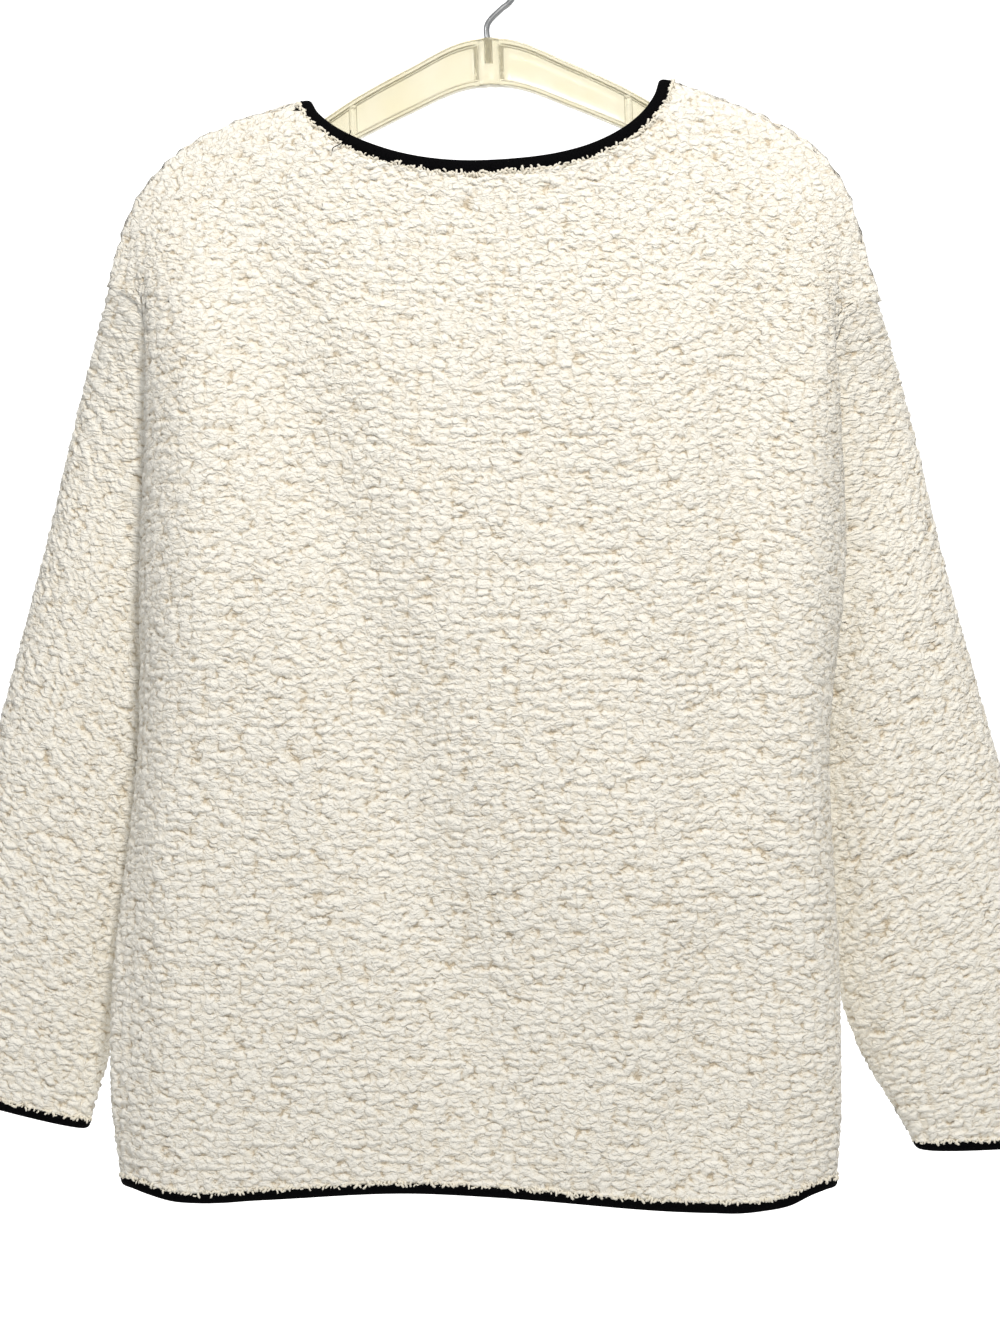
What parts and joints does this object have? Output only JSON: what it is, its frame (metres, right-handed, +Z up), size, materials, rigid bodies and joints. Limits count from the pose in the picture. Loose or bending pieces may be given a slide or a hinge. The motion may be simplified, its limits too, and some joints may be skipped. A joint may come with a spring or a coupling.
{
  "type": "sherpa fleece pullover on a hanger",
  "caption": "Loose round-necked fleece pullover with dropped shoulders and long sleeves, bound at neck, hem and cuffs, hanging on a clear moulded hanger with a wire hook.",
  "frame": {"origin": "inside top of the hook, where the rail that holds the hanger bears", "axes": "+Z up, +X towards the wearer's right and -X towards the wearer's left, -Y out of the garment's back"},
  "size_m": [0.7865, 0.1117, 0.8018],
  "materials": {
    "sherpa_fleece": "curly cream pile",
    "black_binding": "smooth black knit",
    "clear_moulded_plastic": "clear, slightly yellowed",
    "plated_steel_wire": "bright plated wire"
  },
  "bodies": {
    "root": {"back_panel": "sherpa_fleece", "front_panel": "sherpa_fleece", "sleeve_left": "sherpa_fleece", "sleeve_right": "sherpa_fleece", "neck_binding": "black_binding", "hem_binding": "black_binding", "cuff_binding_left": "black_binding", "cuff_binding_right": "black_binding", "hanger_body": "clear_moulded_plastic", "hanger_hook": "plated_steel_wire"}
  },
  "joints": []
}
